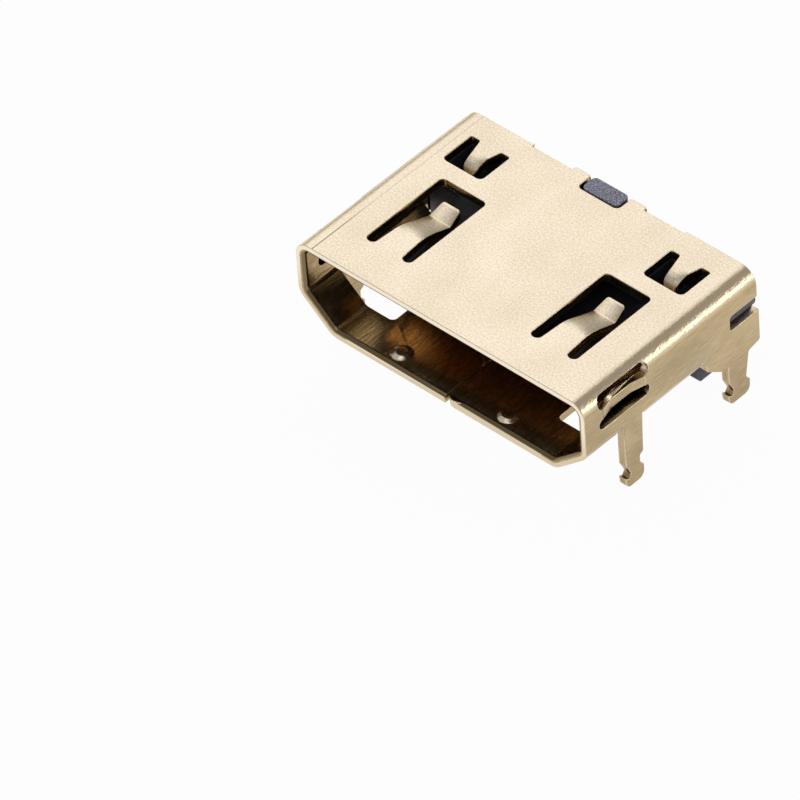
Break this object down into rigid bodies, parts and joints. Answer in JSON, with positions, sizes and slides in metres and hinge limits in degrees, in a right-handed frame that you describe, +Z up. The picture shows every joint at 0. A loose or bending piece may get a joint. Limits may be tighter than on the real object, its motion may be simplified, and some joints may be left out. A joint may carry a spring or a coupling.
{
  "type": "mini video board socket",
  "caption": "Low board-mounted female socket: folded gold-plated shell with spring fingers and hooked legs, dark moulded housing, a row of contacts and two posts.",
  "frame": {"origin": "on the circuit board's surface (the shell floor's outer face), on the middle line, midway between the two locating posts", "axes": "+X across the socket to the right seen from the mouth with the board below, +Y from the mouth to the solder tails, +Z up from the board"},
  "size_m": [0.0112, 0.0083, 0.0043],
  "materials": {
    "gold_plated_sheet": "pale gold plating over stamped sheet, satin top, lengthwise brushed sides",
    "dark_plastic": "matt moulded plastic, slate black",
    "contact_metal": "gold-plated strip"
  },
  "bodies": {
    "root": {"shell": "gold_plated_sheet", "housing": "dark_plastic", "contact_01": "contact_metal", "contact_02": "contact_metal", "contact_03": "contact_metal", "contact_04": "contact_metal", "contact_05": "contact_metal", "contact_06": "contact_metal", "contact_07": "contact_metal", "contact_08": "contact_metal", "contact_09": "contact_metal", "contact_10": "contact_metal", "contact_11": "contact_metal", "contact_12": "contact_metal", "contact_13": "contact_metal", "contact_14": "contact_metal", "contact_15": "contact_metal", "contact_16": "contact_metal", "contact_17": "contact_metal", "contact_18": "contact_metal", "contact_19": "contact_metal"}
  },
  "joints": []
}
